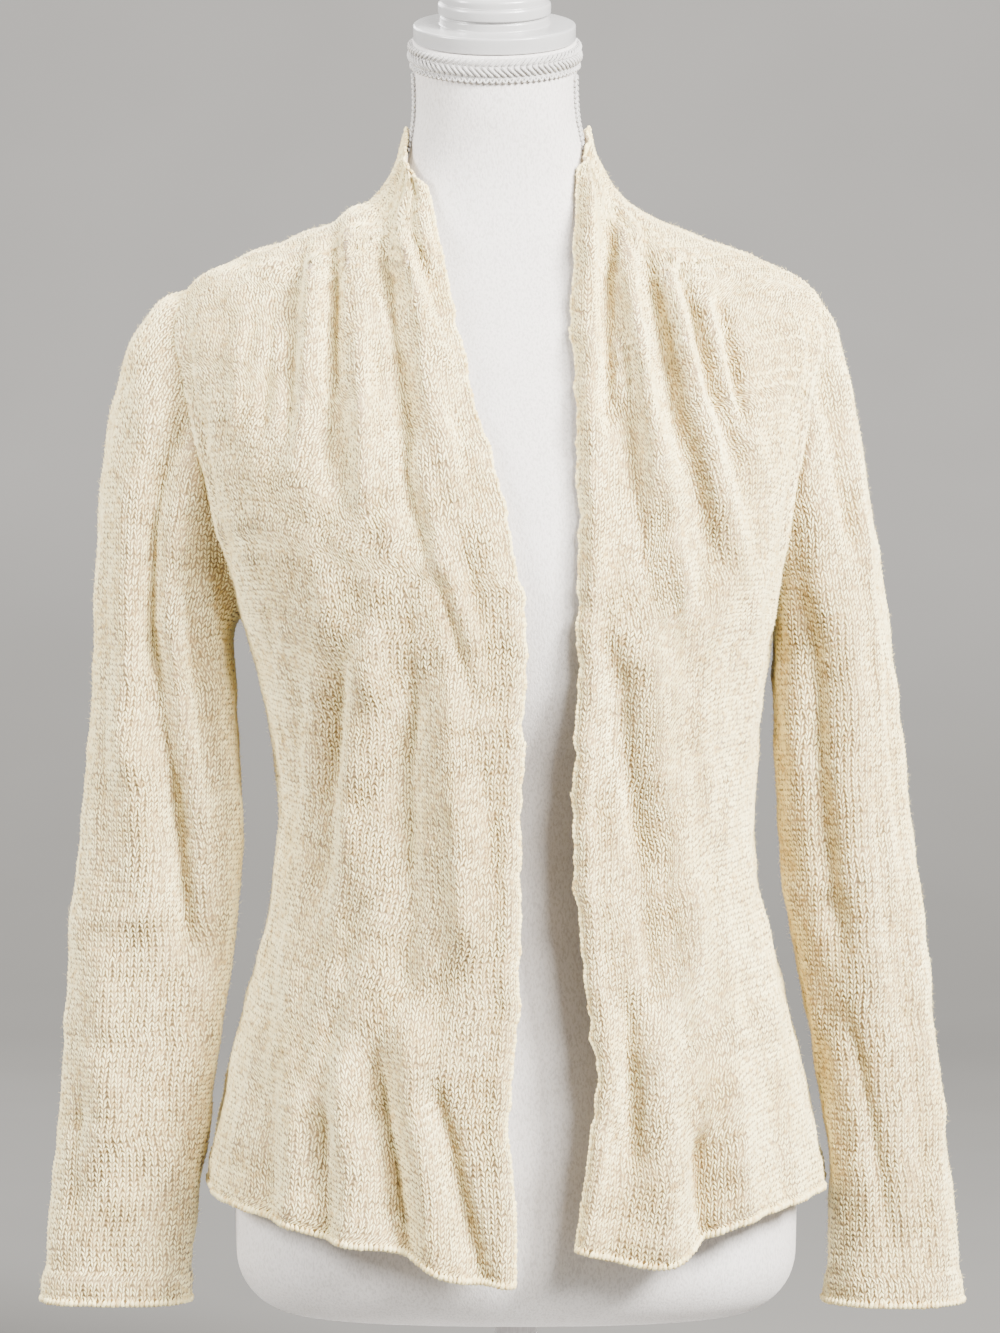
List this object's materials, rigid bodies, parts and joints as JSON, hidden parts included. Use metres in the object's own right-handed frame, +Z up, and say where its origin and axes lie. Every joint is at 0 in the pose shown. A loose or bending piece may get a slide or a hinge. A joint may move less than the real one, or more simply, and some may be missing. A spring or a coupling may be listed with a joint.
{
  "type": "open-front cardigan on a dress form",
  "caption": "Loosely knitted open-front cardigan with a shawl neck and long set-in sleeves, worn on a limbless dress form with a short round stand.",
  "frame": {"origin": "middle of the base's underside, on the post's axis", "axes": "+Z up along the post, +X to the wearer's left, the open front faces -Y"},
  "size_m": [0.5477, 0.3, 0.9058],
  "materials": {
    "knit_cream": "fuzzy loose plain knit, matt",
    "form_cover": "stretched fine woven cover, matt",
    "cap_plastic": "smooth moulded white",
    "braid_trim": "plaited cord",
    "post_steel": "brushed",
    "base_paint": "satin pale grey"
  },
  "bodies": {
    "root": {"front_right": "knit_cream", "front_left": "knit_cream", "back": "knit_cream", "collar": "knit_cream", "sleeve_right": "knit_cream", "sleeve_left": "knit_cream", "form_torso": "form_cover", "neck_cap": "cap_plastic", "neck_braid": "braid_trim", "braid_right": "braid_trim", "braid_left": "braid_trim", "post": "post_steel", "base": "base_paint"}
  },
  "joints": []
}
